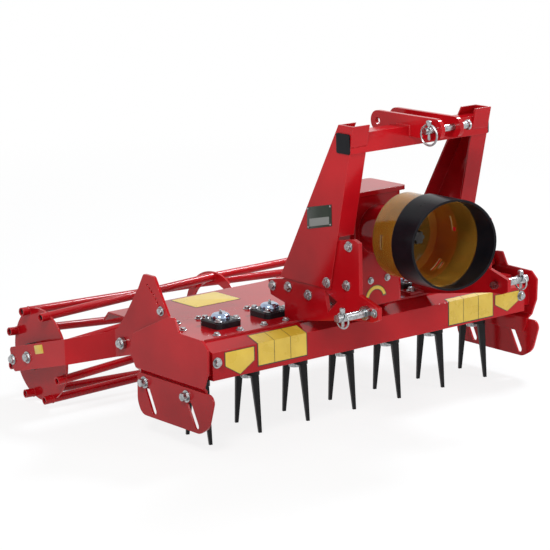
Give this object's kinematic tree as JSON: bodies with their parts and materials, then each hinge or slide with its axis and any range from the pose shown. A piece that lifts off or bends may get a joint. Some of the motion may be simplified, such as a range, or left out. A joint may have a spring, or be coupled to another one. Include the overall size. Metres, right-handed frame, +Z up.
{
  "type": "power harrow",
  "caption": "Tractor-mounted power harrow: driven tine rotors in a row under a gear trough, hitch mast, guarded drive input and a rear cage roller on adjustable arms.",
  "frame": {"origin": "on the floor under the middle of the machine's box", "axes": "+X along the row of rotors (machine width), -Y towards the tractor, +Y towards the roller, +Z up"},
  "size_m": [1.38, 1.282, 0.897],
  "materials": {
    "red_paint": "gloss",
    "black_paint": "satin",
    "zinc": "satin",
    "guard_amber": "gloss",
    "black_plastic": "matte",
    "shaft_steel": "satin",
    "tine_steel": "satin"
  },
  "bodies": {
    "frame": {"gear_trough": "red_paint", "trough_cover": "red_paint", "rear_apron": "red_paint", "bearing_housings": "black_paint", "bearing_caps": "zinc", "side_plate_left": "red_paint", "side_plate_right": "red_paint", "side_shield_left": "red_paint", "side_shield_right": "red_paint", "pivot_bracket_left": "red_paint", "pivot_bracket_right": "red_paint", "pivot_pins": "zinc", "mast_post_left": "red_paint", "mast_post_right": "red_paint", "crossbar": "red_paint", "crossbar_plugs": "black_plastic", "top_link_ears": "red_paint", "top_link_pin": "zinc", "hitch_bracket_left": "red_paint", "hitch_bracket_right": "red_paint", "hitch_pins": "zinc", "gearbox": "red_paint", "gearbox_cover": "red_paint", "pto_guard": "guard_amber", "pto_collar": "black_plastic"},
    "spindle_1": {"rotor_1": "tine_steel", "tines_1": "tine_steel"},
    "spindle_2": {"rotor_2": "tine_steel", "tines_2": "tine_steel"},
    "spindle_3": {"rotor_3": "tine_steel", "tines_3": "tine_steel"},
    "spindle_4": {"rotor_4": "tine_steel", "tines_4": "tine_steel"},
    "spindle_5": {"rotor_5": "tine_steel", "tines_5": "tine_steel"},
    "spindle_6": {"rotor_6": "tine_steel", "tines_6": "tine_steel"},
    "spindle_7": {"rotor_7": "tine_steel", "tines_7": "tine_steel"},
    "pto_input": {"pto_shaft": "shaft_steel"},
    "roller_frame": {"roller_arm_left": "red_paint", "roller_arm_right": "red_paint", "roller_bearings": "black_paint"},
    "roller": {"roller_cage": "red_paint"}
  },
  "joints": [
    {"name": "spindle_1_spin", "type": "hinge", "parent": "frame", "child": "spindle_1", "pos_m": [-0.522, -0.121, 0.2], "axis": [0, 0, 1], "continuous": true},
    {"name": "spindle_2_spin", "type": "hinge", "parent": "frame", "child": "spindle_2", "pos_m": [-0.348, -0.121, 0.2], "axis": [0, 0, 1], "continuous": true},
    {"name": "spindle_3_spin", "type": "hinge", "parent": "frame", "child": "spindle_3", "pos_m": [-0.174, -0.121, 0.2], "axis": [0, 0, 1], "continuous": true},
    {"name": "spindle_4_spin", "type": "hinge", "parent": "frame", "child": "spindle_4", "pos_m": [0, -0.121, 0.2], "axis": [0, 0, 1], "continuous": true},
    {"name": "spindle_5_spin", "type": "hinge", "parent": "frame", "child": "spindle_5", "pos_m": [0.174, -0.121, 0.2], "axis": [0, 0, 1], "continuous": true},
    {"name": "spindle_6_spin", "type": "hinge", "parent": "frame", "child": "spindle_6", "pos_m": [0.348, -0.121, 0.2], "axis": [0, 0, 1], "continuous": true},
    {"name": "spindle_7_spin", "type": "hinge", "parent": "frame", "child": "spindle_7", "pos_m": [0.522, -0.121, 0.2], "axis": [0, 0, 1], "continuous": true},
    {"name": "pto_spin", "type": "hinge", "parent": "frame", "child": "pto_input", "pos_m": [0, -0.421, 0.55], "axis": [0, -1, 0], "continuous": true},
    {"name": "roller_depth", "type": "hinge", "parent": "frame", "child": "roller_frame", "pos_m": [0, 0.108, 0.251], "axis": [1, 0, 0], "range_deg": [0, 22.5]},
    {"name": "roller_spin", "type": "hinge", "parent": "roller_frame", "child": "roller", "pos_m": [0, 0.491, 0.15], "axis": [1, 0, 0], "continuous": true}
  ],
  "couplings": [
    {"joint": "spindle_1_spin", "follows": "spindle_4_spin", "ratio": 1},
    {"joint": "spindle_2_spin", "follows": "spindle_4_spin", "ratio": 1},
    {"joint": "spindle_3_spin", "follows": "spindle_4_spin", "ratio": 1},
    {"joint": "spindle_5_spin", "follows": "spindle_4_spin", "ratio": 1},
    {"joint": "spindle_6_spin", "follows": "spindle_4_spin", "ratio": 1},
    {"joint": "spindle_7_spin", "follows": "spindle_4_spin", "ratio": 1},
    {"joint": "pto_spin", "follows": "spindle_4_spin", "ratio": 2}
  ]
}
